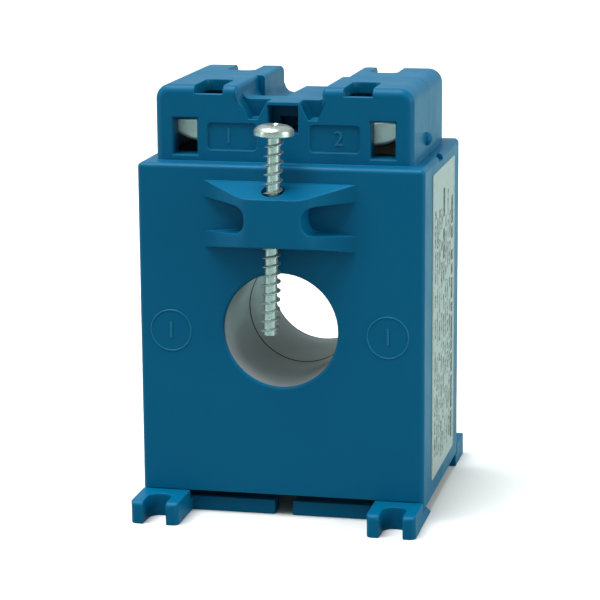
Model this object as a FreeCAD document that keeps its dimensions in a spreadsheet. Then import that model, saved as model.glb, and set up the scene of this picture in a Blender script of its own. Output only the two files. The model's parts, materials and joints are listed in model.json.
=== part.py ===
import FreeCAD, Part
import Sketcher
import math
import os
import re

from FreeCAD import Placement, Rotation, Vector

# A window-type current transformer for a busbar or cable, in millimetres.
# X runs to the right, Y to the back, Z up. The origin is on the ground, under the middle.
# The front is the side with the boss and the fixing screw, at negative Y.

SIZES = {
    # Housing, made of two half-shells that meet in the plane Y = 0
    "house_width": 60.0,
    "house_depth": 46.0,
    "house_bottom": 4.8,
    "house_height": 69.5,
    "house_wall": 2.0,
    "house_round": 1.0,
    "skirt_drop": 1.8,
    "skirt_wall": 1.4,
    # Window for the primary conductor
    "bore_radius": 12.0,
    "bore_height": 40.0,
    "bore_lip": 0.9,
    "bore_lip_round": 0.6,
    "sleeve_wall": 1.5,
    # Terminal block on top: two towers with a bridge in the gap between them. The floor of the gap has a
    # trough at each side of the bridge, and at the front a raised crown with notches and slits for a seal.
    "block_inset": 3.0,
    "block_setback": 3.8,
    "block_height": 15.7,
    "gap_left": 9.5,
    "gap_right": 8.15,
    "tower_outer_round": 3.0,
    "tower_inner_round": 0.8,
    "tower_front_round": 1.7,
    "tower_roof": 2.4,
    "bridge_width": 6.6,
    "bridge_drop": 4.5,
    "trough_drop": 5.9,
    "trough_inner": 6.0,
    "trough_cove": 2.0,
    "crown_drop": 3.1,
    "crown_depth": 5.4,
    "crown_cove": 1.5,
    "notch_drop": 6.8,
    "notch_depth": 4.6,
    "notch_rise_left": 3.7,
    "notch_rise_right": 2.4,
    "notch_outer": 7.2,
    "notch_inner": 5.3,
    "slit_wall": 1.0,
    "slit_depth": 1.3,
    "slit_sink": 2.4,
    "slit_inset": 0.5,
    # Pocket under the bridge
    "hatch_width": 6.4,
    "hatch_height": 5.6,
    "hatch_roof": 0.75,
    "hatch_depth": 6.0,
    "hatch_hole_height": 2.6,
    "hatch_hole_width": 5.0,
    "hatch_hole_depth": 4.0,
    # Marking recesses beside the wire entries
    "plate_height": 5.6,
    "plate_inner": 5.5,
    "plate_margin": 2.15,
    "plate_rise": 2.4,
    "plate_sink": 0.5,
    "plate_round": 0.9,
    # Wire entries and the tool slots above the clamp screws
    "entry_width": 5.1,
    "entry_height": 7.4,
    "entry_inset": 1.55,
    "entry_chamfer": 0.45,
    "tool_inset": 4.8,
    "tool_end": 10.8,
    "tool_lip_wall": 1.6,
    "tool_lip_drop": 1.8,
    "tool_sink": 7.0,
    "tool_round": 1.5,
    # Chamber of each terminal
    "chamber_inner_wall": 1.3,
    "chamber_outer_wall": 2.2,
    "chamber_front_wall": 4.6,
    # Small nubs that hold a terminal cover, and the latch notch in the shoulder
    "nub_radius": 1.4,
    "nub_forward": 3.5,
    "nub_rise": 3.5,
    "latch_length": 4.6,
    "latch_width": 1.2,
    "latch_drop": 1.2,
    # Boss that carries the fixing screw
    "boss_width": 31.6,
    "boss_bottom": 57.1,
    "boss_height": 13.9,
    "boss_depth": 7.0,
    "boss_front_width": 12.2,
    "boss_top_fall": 2.5,
    "boss_bottom_rise": 1.5,
    "boss_edge_round": 6.5,
    "web_width": 11.8,
    "slot_inner_height": 5.6,
    "slot_outer_height": 7.1,
    "slot_round": 2.6,
    "slot_rise": 6.9,
    # Fixing screw, driven a little askew
    "screw_left": 0.7,
    "screw_forward": 3.3,
    "screw_lean": 1.7,
    "screw_radius": 2.1,
    "screw_fit": 0.04,
    "screw_entry_radius": 2.3,
    "screw_entry_depth": 1.6,
    "screw_shank": 40.4,
    "screw_stand": 9.4,
    "screw_tip_taper": 0.5,
    "head_radius": 4.1,
    "head_height": 2.9,
    "head_rim": 0.7,
    "cross_length": 4.4,
    "cross_width": 1.0,
    "cross_depth": 1.5,
    # Feet that clip into the housing bottom
    "foot_width": 10.2,
    "foot_reach": 10.2,
    "foot_slot_width": 4.9,
    "foot_slot_length": 6.5,
    "foot_slot_round": 2.2,
    "foot_round": 1.2,
    "tongue_length": 1.9,
    "tail_length": 9.4,
    "tail_flat": 4.4,
    "tail_tip": 0.4,
    "tongue_height": 2.7,
    "bar_height": 3.1,
    "bar_depth": 4.0,
    "bar_setback": 1.7,
    "bar_gap": 3.8,
    "rest_width": 7.0,
    "rest_depth": 3.6,
    "rest_setback": 2.6,
    "hook_width": 5.0,
    "hook_depth": 2.0,
    "hook_fit": 0.1,
    "barb_reach": 0.7,
    "barb_height": 1.6,
    "barb_lead": 0.55,
    # Ring core with its insulating caps, winding and tape
    "tape_clearance": 0.5,
    "core_clearance": 1.9,
    "core_length": 24.0,
    "cap_wall": 1.0,
    "cap_gap": 0.3,
    "winding_wall": 1.0,
    "tape_wall": 0.4,
    "ring_fit": 0.05,
    "cradle_clearance": 3.0,
    "cradle_wall": 2.0,
    # Terminals
    "deck_clearance": 0.6,
    "rail_wall": 1.4,
    "rail_fit": 0.3,
    "clamp_lift": 1.9,
    "shoe_depth": 6.7,
    "shoe_clearance": 0.4,
    "shoe_height": 4.6,
    "shoe_belly": 2.4,
    "shoe_round": 0.8,
    "bolt_radius": 2.0,
    "bolt_fit": 0.05,
    "bolt_length": 11.8,
    "bolt_head_radius": 2.8,
    "bolt_head_clearance": 0.2,
    "bolt_head_height": 2.4,
    "bolt_chamfer": 0.5,
    "bolt_slot_width": 0.9,
    "bolt_slot_depth": 1.1,
    # Leads from the winding to the terminals
    "lead_radius": 0.7,
    "lead_start": 9.4,
    "lead_bend": 1.8,
    "lead_rise": 1.6,
    "lead_notch": 1.1,
    # Rating label on the right side
    "label_wall": 0.12,
    "label_front_margin": 9.8,
    "label_back_margin": 7.0,
    "label_bottom_margin": 1.8,
    "label_top_margin": 2.7,
    "label_round": 1.0,
}

doc = FreeCAD.newDocument("current_transformer")
sheet = doc.addObject("Spreadsheet::Sheet", "sizes")
for row, (alias, value) in enumerate(SIZES.items(), start=1):
    sheet.set(f"A{row}", alias)
    sheet.set(f"B{row}", str(value))
    sheet.setAlias(f"B{row}", alias)
doc.recompute()

# Places that several pieces share, as expressions of the sizes
HALF = "house_width / 2"
FRONT = "house_depth / 2"
TOP = "(house_bottom + house_height)"
BLOCK_TOP = "(house_bottom + house_height + block_height)"
BLOCK_FRONT = "(house_depth / 2 - block_setback)"
ROOM_DEPTH = "(house_depth / 2 - house_wall)"
HOOK_FRONT = "(house_depth / 2 - rest_setback - (rest_depth - hook_depth) / 2)"
BOSS_TOP = "(boss_bottom + boss_height)"
SLOT_MIDDLE = "(boss_bottom + slot_rise)"
SCREW_FORWARD = "(house_depth / 2 + screw_forward)"
TOOL_HALF = "(bolt_head_radius + bolt_head_clearance)"
BLOCK_HALF = f"({HALF} - block_inset)"
CLAMP_FORWARD = f"({BLOCK_FRONT} - tool_end + {TOOL_HALF})"
CHAMBER_INNER = "(gap_left + chamber_inner_wall)"
CHAMBER_OUTER = f"({BLOCK_HALF} - chamber_outer_wall)"
TOOL_ACROSS = f"({CHAMBER_INNER} + tool_inset)"
ENTRY_ACROSS = f"({CHAMBER_OUTER} - entry_inset - entry_width / 2)"
PLATE_OUTER = f"({ENTRY_ACROSS} - entry_width / 2 - plate_margin)"
SHOE_INNER = f"({CHAMBER_INNER} + shoe_clearance)"
SHOE_OUTER = f"({CHAMBER_OUTER} - shoe_clearance)"
SHOE_BOTTOM = f"({TOP} + rail_wall + clamp_lift)"
SHOE_FRONT = f"({BLOCK_FRONT} - chamber_front_wall - shoe_clearance)"
SLEEVE_OUTER = "(bore_radius + sleeve_wall)"
TAPE_INNER = f"({SLEEVE_OUTER} + tape_clearance)"
WINDING_INNER = f"({TAPE_INNER} + tape_wall + ring_fit)"
CAP_INNER = f"({WINDING_INNER} + winding_wall + ring_fit)"
CORE_INNER = f"({CAP_INNER} + cap_wall + ring_fit)"
CAP_LENGTH = "(core_length / 2 + ring_fit + cap_wall)"
WINDING_LENGTH = f"({CAP_LENGTH} + ring_fit + winding_wall)"
TAPE_LENGTH = f"({WINDING_LENGTH} + ring_fit + tape_wall)"
TAPE_OUTER = f"({HALF} - house_wall - core_clearance)"
WINDING_OUTER = f"({TAPE_OUTER} - tape_wall - ring_fit)"
CAP_OUTER = f"({WINDING_OUTER} - winding_wall - ring_fit)"
CORE_OUTER = f"({CAP_OUTER} - cap_wall - ring_fit)"


def link(text):
    """The expression with the sheet's name before each size."""
    return re.sub(r"[a-z_]+", lambda word: "sizes." + word[0] if word[0] in SIZES else word[0], text)


def mm(text):
    """The number that an expression of the sizes stands for."""
    return float(sheet.evalExpression(link(text)))


def new_body(label):
    body = doc.addObject("PartDesign::Body", label)
    body.Label = label
    return body


def sketch(body, name, plane, lift="0"):
    """An empty sketch on one of the body's own planes, moved along the plane's normal."""
    draft = body.newObject("Sketcher::SketchObject", f"{body.Name}_{name}_sketch")
    support = [item for item in body.Origin.OriginFeatures if item.Role == plane][0]
    draft.AttachmentSupport = [(support, "")]
    draft.MapMode = "FlatFace"
    draft.setExpression("AttachmentOffset.Base.z", link(lift))
    return draft


def fix_point(draft, line, end, across, up):
    """Ties one end of a line to its two distances from the sketch's origin."""
    for kind, text in (("DistanceX", across), ("DistanceY", up)):
        place = draft.addConstraint(Sketcher.Constraint(kind, -1, 1, line, end, mm(text)))
        draft.setExpression(f"Constraints[{place}]", link(text))


def outline(draft, points):
    """A closed outline of straight edges through the given points."""
    spots = [Vector(mm(across), mm(up), 0) for across, up in points]
    lines = []
    for start, end in zip(spots, spots[1:] + spots[:1]):
        lines.append(draft.addGeometry(Part.LineSegment(start, end)))
    for line, after in zip(lines, lines[1:] + lines[:1]):
        draft.addConstraint(Sketcher.Constraint("Coincident", line, 2, after, 1))
    for line, (across, up) in zip(lines, points):
        fix_point(draft, line, 1, across, up)


def rectangle(draft, left, right, low, high):
    outline(draft, [(left, low), (right, low), (right, high), (left, high)])


def circle(draft, across, up, radius):
    spot = Vector(mm(across), mm(up), 0)
    ring = draft.addGeometry(Part.Circle(spot, Vector(0, 0, 1), mm(radius)))
    fix_point(draft, ring, 3, across, up)
    size = draft.addConstraint(Sketcher.Constraint("Radius", ring, mm(radius)))
    draft.setExpression(f"Constraints[{size}]", link(radius))


def grow(kind, body, name, draft, length, backwards=False):
    """A pad or a pocket of the sketch."""
    feature = body.newObject(f"PartDesign::{kind}", f"{body.Name}_{name}")
    feature.Profile = draft
    feature.setExpression("Length", link(length))
    feature.Reversed = backwards
    return feature


def pad(body, name, draft, length, backwards=False):
    return grow("Pad", body, name, draft, length, backwards)


def pocket(body, name, draft, length, backwards=False):
    return grow("Pocket", body, name, draft, length, backwards)


def turn(body, name, draft):
    """A full revolution about the sketch's upright axis."""
    feature = body.newObject("PartDesign::Revolution", f"{body.Name}_{name}")
    feature.Profile = draft
    feature.ReferenceAxis = (draft, ["V_Axis"])
    feature.Angle = 360
    return feature


def dress(kind, body, name, chosen, size):
    """A fillet or chamfer on the edges of the body's tip that the test chooses."""
    doc.recompute()
    base = body.Tip
    names = [f"Edge{place}" for place, edge in enumerate(base.Shape.Edges, start=1)
             if not edge.Degenerated and chosen(edge)]
    feature = body.newObject(f"PartDesign::{kind}", f"{body.Name}_{name}")
    feature.Base = (base, names)
    feature.setExpression("Radius" if kind == "Fillet" else "Size", link(size))
    return feature


def near(value, text):
    return abs(value - mm(text)) < 0.01


def runs_along(edge, axis):
    """Whether a straight edge runs along the axis: 0 is X, 1 is Y, 2 is Z."""
    if not isinstance(edge.Curve, Part.Line):
        return False
    box = edge.BoundBox
    return [box.XLength, box.YLength, box.ZLength][axis] > 0.99 * edge.Length


def lies_at_depth(edge, depth):
    """Whether the whole edge lies in the plane at that distance in front of the parting plane."""
    box = edge.BoundBox
    return near(-box.YMin, depth) and near(-box.YMax, depth)


def tower_corner(edge, across):
    """Whether the edge runs front to back along a tower's top, at that distance from the middle."""
    box = edge.BoundBox
    return runs_along(edge, 1) and near(box.ZMin, BLOCK_TOP) and near(abs(box.Center.x), across)


# Half-shells

def housing(body):
    """The outer block, with a skirt along each side that reaches lower than the floor."""
    draft = sketch(body, "housing", "XZ_Plane")
    skirt_inner = f"({HALF} - skirt_wall)"
    right = [(skirt_inner, "house_bottom"), (skirt_inner, "house_bottom - skirt_drop"),
             (HALF, "house_bottom - skirt_drop"), (HALF, TOP)]
    left = [(f"-({across})", up) for across, up in reversed(right)]
    outline(draft, right + left)
    pad(body, "housing", draft, FRONT)
    dress("Fillet", body, "housing_round", lambda edge: near(edge.BoundBox.ZMax, TOP)
          and (lies_at_depth(edge, FRONT) or runs_along(edge, 1)), "house_round")


def cove(sign, wall, floor, size):
    """Points of a hollow corner between an upright wall and a floor, from the wall down."""
    return [(f"{sign} * ({wall} - {size} * (1 - cos({angle})))", f"{floor} + {size} * (1 - sin({angle}))")
            for angle in (0, 30, 60, 90)]


def terminal_block(body):
    """Two towers with the bridge between them. The gap lies a little to the left."""
    floor = f"({BLOCK_TOP} - notch_drop)"
    bridge = f"({BLOCK_TOP} - bridge_drop)"
    draft = sketch(body, "block", "XZ_Plane")
    outline(draft, [(BLOCK_HALF, f"{TOP} - house_wall"), (BLOCK_HALF, BLOCK_TOP), ("gap_right", BLOCK_TOP),
                    ("gap_right", f"{floor} + notch_rise_right"), ("notch_outer", floor),
                    ("notch_inner", floor), ("bridge_width / 2", bridge), ("-bridge_width / 2", bridge),
                    ("-notch_inner", floor), ("-notch_outer", floor),
                    ("-gap_left", f"{floor} + notch_rise_left"), ("-gap_left", BLOCK_TOP),
                    (f"-{BLOCK_HALF}", BLOCK_TOP), (f"-{BLOCK_HALF}", f"{TOP} - house_wall")])
    pad(body, "block", draft, BLOCK_FRONT)
    dress("Fillet", body, "outer_round", lambda edge: tower_corner(edge, BLOCK_HALF), "tower_outer_round")
    dress("Fillet", body, "front_round", lambda edge: lies_at_depth(edge, BLOCK_FRONT)
          and not near(edge.BoundBox.Center.x, "gap_right") and not near(edge.BoundBox.Center.x, "-gap_left")
          and (near(edge.BoundBox.ZMax, BLOCK_TOP) or near(abs(edge.BoundBox.Center.x), BLOCK_HALF)),
          "tower_front_round")
    dress("Fillet", body, "inner_round", lambda edge: tower_corner(edge, "gap_left")
          or tower_corner(edge, "gap_right"), "tower_inner_round")


def gap_fill(body, front):
    """The shallow trough beside the bridge, and the raised crown behind the front notches."""
    floor = f"({BLOCK_TOP} - notch_drop)"
    trough = f"({BLOCK_TOP} - trough_drop)"
    bridge = f"({BLOCK_TOP} - bridge_drop)"
    draft = sketch(body, "trough", "XZ_Plane")
    outline(draft, [("-gap_left", floor), ("gap_right", floor)]
            + cove("1", "gap_right", trough, "trough_cove")
            + [("trough_inner", trough), ("bridge_width / 2", bridge),
               ("-bridge_width / 2", bridge), ("-trough_inner", trough)]
            + cove("-1", "gap_left", trough, "trough_cove")[::-1])
    pad(body, "trough", draft, f"{BLOCK_FRONT} - notch_depth" if front else BLOCK_FRONT)
    if front:
        crown = f"({BLOCK_TOP} - crown_drop)"
        draft = sketch(body, "crown", "XZ_Plane", f"{BLOCK_FRONT} - notch_depth")
        outline(draft, [("-gap_left", floor), ("gap_right", floor)]
                + cove("1", "gap_right", crown, "crown_cove")
                + cove("-1", "gap_left", crown, "crown_cove")[::-1])
        pad(body, "crown", draft, "crown_depth", backwards=True)
        draft = sketch(body, "crown_nose", "XZ_Plane", f"{BLOCK_FRONT} - notch_depth")
        outline(draft, [("-notch_inner", floor), ("notch_inner", floor),
                        ("bridge_width / 2", crown), ("-bridge_width / 2", crown)])
        pad(body, "crown_nose", draft, "notch_depth")


def rooms(body):
    """The hollow for the core, and one chamber for each terminal."""
    draft = sketch(body, "room", "XZ_Plane")
    rectangle(draft, f"house_wall - {HALF}", f"{HALF} - house_wall",
              "house_bottom + house_wall", f"{TOP} - house_wall")
    pocket(body, "room", draft, ROOM_DEPTH, backwards=True)
    draft = sketch(body, "chamber", "XZ_Plane")
    for side in ("-1", "1"):
        rectangle(draft, f"{side} * {CHAMBER_INNER}", f"{side} * {CHAMBER_OUTER}",
                  TOP, f"{BLOCK_TOP} - tower_roof")
    pocket(body, "chamber", draft, f"{BLOCK_FRONT} - chamber_front_wall", backwards=True)
    draft = sketch(body, "deck_holes", "XY_Plane", TOP)
    for side in ("-1", "1"):
        circle(draft, f"{side} * {TOOL_ACROSS}", f"-{CLAMP_FORWARD}", "bolt_radius + deck_clearance")
    pocket(body, "deck_holes", draft, "house_wall")
    draft = sketch(body, "lead_notches", "XY_Plane", TOP)
    for side in ("-1", "1"):
        middle = f"{side} * (lead_start + 2 * lead_bend)"
        rectangle(draft, f"{middle} - lead_notch", f"{middle} + lead_notch", "-lead_notch", "0")
    pocket(body, "lead_notches", draft, "house_wall")


def window(body):
    """The round window, with a lip in front of the seat for the sleeve."""
    draft = sketch(body, "seat", "XZ_Plane")
    circle(draft, "0", "bore_height", f"{SLEEVE_OUTER} + ring_fit")
    pocket(body, "seat", draft, f"{FRONT} - bore_lip", backwards=True)
    draft = sketch(body, "window", "XZ_Plane")
    circle(draft, "0", "bore_height", "bore_radius")
    pocket(body, "window", draft, FRONT, backwards=True)
    dress("Fillet", body, "window_round", lambda edge: lies_at_depth(edge, FRONT)
          and isinstance(edge.Curve, Part.Circle) and near(edge.Curve.Radius, "bore_radius"),
          "bore_lip_round")


def cradle(body):
    """A ring inside the front wall that the taped core rests against."""
    draft = sketch(body, "cradle", "XZ_Plane", f"{TAPE_LENGTH} + ring_fit")
    circle(draft, "0", "bore_height", f"{SLEEVE_OUTER} + cradle_clearance + cradle_wall")
    circle(draft, "0", "bore_height", f"{SLEEVE_OUTER} + cradle_clearance")
    pad(body, "cradle", draft, f"{ROOM_DEPTH} - {TAPE_LENGTH}")


def terminal_openings(body):
    """Wire entries, tool slots and marking recesses."""
    draft = sketch(body, "entries", "XZ_Plane", BLOCK_FRONT)
    for side in ("-1", "1"):
        middle = f"{side} * {ENTRY_ACROSS}"
        rectangle(draft, f"{middle} - entry_width / 2", f"{middle} + entry_width / 2",
                  f"{TOP} + rail_wall", f"{TOP} + rail_wall + entry_height")
    pocket(body, "entries", draft, "chamber_front_wall")
    top = mm(f"{TOP} + rail_wall")
    dress("Chamfer", body, "entry_edges", lambda edge: lies_at_depth(edge, BLOCK_FRONT)
          and edge.BoundBox.ZMin > top - 0.01 and edge.BoundBox.ZMax < top + mm("entry_height") + 0.01
          and abs(abs(edge.BoundBox.Center.x) - mm(ENTRY_ACROSS)) < mm("entry_width / 2") + 0.01,
          "entry_chamfer")
    draft = sketch(body, "tool_slots", "XY_Plane", BLOCK_TOP)
    for side in ("-1", "1"):
        middle = f"{side} * {TOOL_ACROSS}"
        rectangle(draft, f"{middle} - {TOOL_HALF}", f"{middle} + {TOOL_HALF}",
                  f"tool_lip_wall - {BLOCK_FRONT}", f"tool_end - {BLOCK_FRONT}")
    pocket(body, "tool_slots", draft, "tool_sink")
    slot_end = f"{BLOCK_FRONT} - tool_end"
    dress("Fillet", body, "tool_round", lambda edge: runs_along(edge, 2)
          and lies_at_depth(edge, slot_end) and edge.BoundBox.ZMax > mm(BLOCK_TOP) - 0.01, "tool_round")
    draft = sketch(body, "tool_lips", "XZ_Plane", BLOCK_FRONT)
    for side in ("-1", "1"):
        middle = f"{side} * {TOOL_ACROSS}"
        rectangle(draft, f"{middle} - {TOOL_HALF}", f"{middle} + {TOOL_HALF}",
                  f"{BLOCK_TOP} - tool_lip_drop", f"{BLOCK_TOP} + tool_lip_drop")
    pocket(body, "tool_lips", draft, "tool_lip_wall + tool_round")
    draft = sketch(body, "plates", "XZ_Plane", BLOCK_FRONT)
    for side in ("-1", "1"):
        rectangle(draft, f"{side} * plate_inner", f"{side} * {PLATE_OUTER}",
                  f"{TOP} + plate_rise", f"{TOP} + plate_rise + plate_height")
    pocket(body, "plates", draft, "plate_sink")
    low = mm(f"{TOP} + plate_rise")
    dress("Fillet", body, "plate_corners", lambda edge: runs_along(edge, 1)
          and near(edge.Length, "plate_sink") and edge.BoundBox.ZMin > low - 0.01
          and edge.BoundBox.ZMax < low + mm("plate_height") + 0.01, "plate_round")


def seal_slits(body):
    """The slits behind the front wall of the notches, for a sealing wire."""
    draft = sketch(body, "seal_slits", "XY_Plane", f"{BLOCK_TOP} - crown_drop")
    for side in ("-1", "1"):
        rectangle(draft, f"{side} * (bridge_width / 2 + slit_inset)", f"{side} * notch_outer",
                  f"slit_wall - {BLOCK_FRONT}", f"slit_wall + slit_depth - {BLOCK_FRONT}")
    pocket(body, "seal_slits", draft, "notch_drop - crown_drop + slit_sink")


def hatch(body, top_drop):
    """The pocket under the bridge, with a smaller hole in its back."""
    roof = f"({BLOCK_TOP} - {top_drop} - hatch_roof)"
    draft = sketch(body, "hatch", "XZ_Plane", BLOCK_FRONT)
    rectangle(draft, "-hatch_width / 2", "hatch_width / 2", f"{roof} - hatch_height", roof)
    pocket(body, "hatch", draft, "hatch_depth")
    draft = sketch(body, "hatch_hole", "XZ_Plane", f"{BLOCK_FRONT} - hatch_depth")
    rectangle(draft, "hatch_width / 2 - hatch_hole_width", "hatch_width / 2",
              f"{roof} - hatch_height", f"{roof} - hatch_height + hatch_hole_height")
    pocket(body, "hatch_hole", draft, "hatch_hole_depth")


def foot_slots(body):
    """Slots in the housing floor that the hooks of the feet snap into."""
    middle = f"({HALF} - foot_width / 2)"
    draft = sketch(body, "foot_slots", "XY_Plane", "house_bottom")
    for side in ("-1", "1"):
        rectangle(draft, f"{side} * {middle} - hook_width / 2 - hook_fit",
                  f"{side} * {middle} + hook_width / 2 + hook_fit",
                  f"-{HOOK_FRONT} - hook_fit", f"-{HOOK_FRONT} + hook_depth + hook_fit")
    pocket(body, "foot_slots", draft, "house_wall", backwards=True)


def boss(body):
    """The fixing boss: a web in the middle and two arms to each side."""
    low = "boss_bottom"
    high = BOSS_TOP
    face = sketch(body, "boss_face", "XZ_Plane", FRONT)
    rectangle(face, "-boss_width / 2", "boss_width / 2", low, high)
    front = sketch(body, "boss_front", "XZ_Plane", f"{FRONT} + boss_depth")
    rectangle(front, "-boss_front_width / 2", "boss_front_width / 2",
              f"{low} + boss_bottom_rise", f"{high} - boss_top_fall")
    loft = body.newObject("PartDesign::AdditiveLoft", f"{body.Name}_boss")
    loft.Profile = face
    loft.Sections = [front]
    loft.Ruled = True
    dress("Fillet", body, "boss_round", lambda edge: runs_along(edge, 2)
          and lies_at_depth(edge, f"{FRONT} + boss_depth"), "boss_edge_round")
    draft = sketch(body, "boss_slots", "XZ_Plane", f"{FRONT} + boss_depth")
    for side in ("-1", "1"):
        inner = f"{side} * web_width / 2"
        outer = f"{side} * boss_width / 2"
        outline(draft, [(inner, f"{SLOT_MIDDLE} - slot_inner_height / 2"),
                        (outer, f"{SLOT_MIDDLE} - slot_outer_height / 2"),
                        (outer, f"{SLOT_MIDDLE} + slot_outer_height / 2"),
                        (inner, f"{SLOT_MIDDLE} + slot_inner_height / 2")])
    pocket(body, "boss_slots", draft, "boss_depth")
    dress("Fillet", body, "slot_round", lambda edge: runs_along(edge, 1)
          and near(abs(edge.BoundBox.Center.x), "web_width / 2")
          and edge.BoundBox.YMax < -mm(FRONT) + 0.01
          and edge.BoundBox.ZMin > mm(low), "slot_round")
    start = f"({BOSS_TOP} - {SLOT_MIDDLE})"
    for name, radius, length in (("pilot", "screw_radius + screw_fit", "2 * boss_height"),
                                 ("entry", "screw_entry_radius", "boss_top_fall / 2 + screw_entry_depth")):
        draft = sketch(body, f"screw_{name}", "XY_Plane")
        circle(draft, "0", "0", radius)
        draft.AttachmentOffset = Placement(Vector(0, 0, 0), Rotation(Vector(0, 1, 0), mm("screw_lean")))
        draft.setExpression("AttachmentOffset.Rotation.Angle", link("screw_lean"))
        draft.setExpression("AttachmentOffset.Base.x", link(f"{start} * sin(screw_lean) - screw_left"))
        draft.setExpression("AttachmentOffset.Base.y", link(f"-{SCREW_FORWARD}"))
        draft.setExpression("AttachmentOffset.Base.z", link(f"{SLOT_MIDDLE} + {start} * cos(screw_lean)"))
        pocket(body, f"screw_{name}", draft, length)


def cover_nubs(body):
    """Half-round nubs on the tower sides, and the latch notch in the shoulder edge."""
    for side, name in (("-1", "left"), ("1", "right")):
        nub = body.newObject("PartDesign::AdditiveSphere", f"{body.Name}_nub_{name}")
        nub.setExpression("Radius", link("nub_radius"))
        nub.Placement = Placement()
        nub.setExpression("AttachmentOffset.Base.x", link(f"{side} * {BLOCK_HALF}"))
        nub.setExpression("AttachmentOffset.Base.y", link("-nub_forward"))
        nub.setExpression("AttachmentOffset.Base.z", link(f"{TOP} + nub_rise"))
        nub.AttachmentSupport = [([item for item in body.Origin.OriginFeatures
                                   if item.Role == "XY_Plane"][0], "")]
        nub.MapMode = "FlatFace"
    draft = sketch(body, "latch", "XY_Plane", TOP)
    for side in ("-1", "1"):
        rectangle(draft, f"{side} * {HALF}", f"{side} * ({HALF} - latch_width)", "-latch_length", "0")
    pocket(body, "latch", draft, "latch_drop")


def half_shell(label, front):
    body = new_body(label)
    housing(body)
    terminal_block(body)
    gap_fill(body, front)
    rooms(body)
    window(body)
    cradle(body)
    hatch(body, "crown_drop" if front else "bridge_drop")
    terminal_openings(body)
    foot_slots(body)
    if front:
        seal_slits(body)
        boss(body)
        cover_nubs(body)
    return body


# Round pieces in the window and round the core, turned about the window's axis

def ring_piece(label, corners):
    """A ring whose section is given as radius and place along the window's axis."""
    body = new_body(label)
    draft = sketch(body, "section", "XY_Plane")
    for loop in corners:
        outline(draft, loop)
    turn(body, "ring", draft)
    body.setExpression("Placement.Base.z", link("bore_height"))
    return body


def box_loop(inner, outer, front, back):
    return [(inner, front), (outer, front), (outer, back), (inner, back)]


def sleeve(label, side):
    """One half of the grey sleeve: a plain tube from the lip to the parting plane."""
    outer = f"{side} * ({FRONT} - bore_lip)"
    return ring_piece(label, [box_loop("bore_radius", SLEEVE_OUTER, outer, f"{side} * ring_fit / 2")])


def core_cap(label, side):
    """An insulating cap with a channel section that goes over half of the core."""
    end = f"{side} * {CAP_LENGTH}"
    floor = f"{side} * (core_length / 2 + ring_fit)"
    rim = f"{side} * cap_gap / 2"
    return ring_piece(label, [[(CAP_INNER, rim), (CAP_INNER, end), (CAP_OUTER, end), (CAP_OUTER, rim),
                               (f"{CORE_OUTER} + ring_fit", rim), (f"{CORE_OUTER} + ring_fit", floor),
                               (f"{CORE_INNER} - ring_fit", floor), (f"{CORE_INNER} - ring_fit", rim)]])


def ring_shell(label, inner, outer, half_length, wall):
    """A closed ring-shaped jacket of even thickness round what is inside it."""
    return ring_piece(label, [
        box_loop(inner, outer, f"-{half_length}", half_length),
        box_loop(f"{inner} + {wall}", f"{outer} - {wall}", f"{wall} - {half_length}",
                 f"{half_length} - {wall}")])


# Terminals

def rail(label, side):
    """The brass bar that joins the front and rear clamps of one terminal."""
    body = new_body(label)
    draft = sketch(body, "bar", "XY_Plane", TOP)
    length = f"({BLOCK_FRONT} - chamber_front_wall - rail_fit)"
    rectangle(draft, f"{side} * ({CHAMBER_INNER} + rail_fit)", f"{side} * ({CHAMBER_OUTER} - rail_fit)",
              f"-{length}", length)
    for end in ("-1", "1"):
        circle(draft, f"{side} * {TOOL_ACROSS}", f"{end} * {CLAMP_FORWARD}", "bolt_radius + bolt_fit")
    pad(body, "bar", draft, "rail_wall")
    return body


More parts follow.
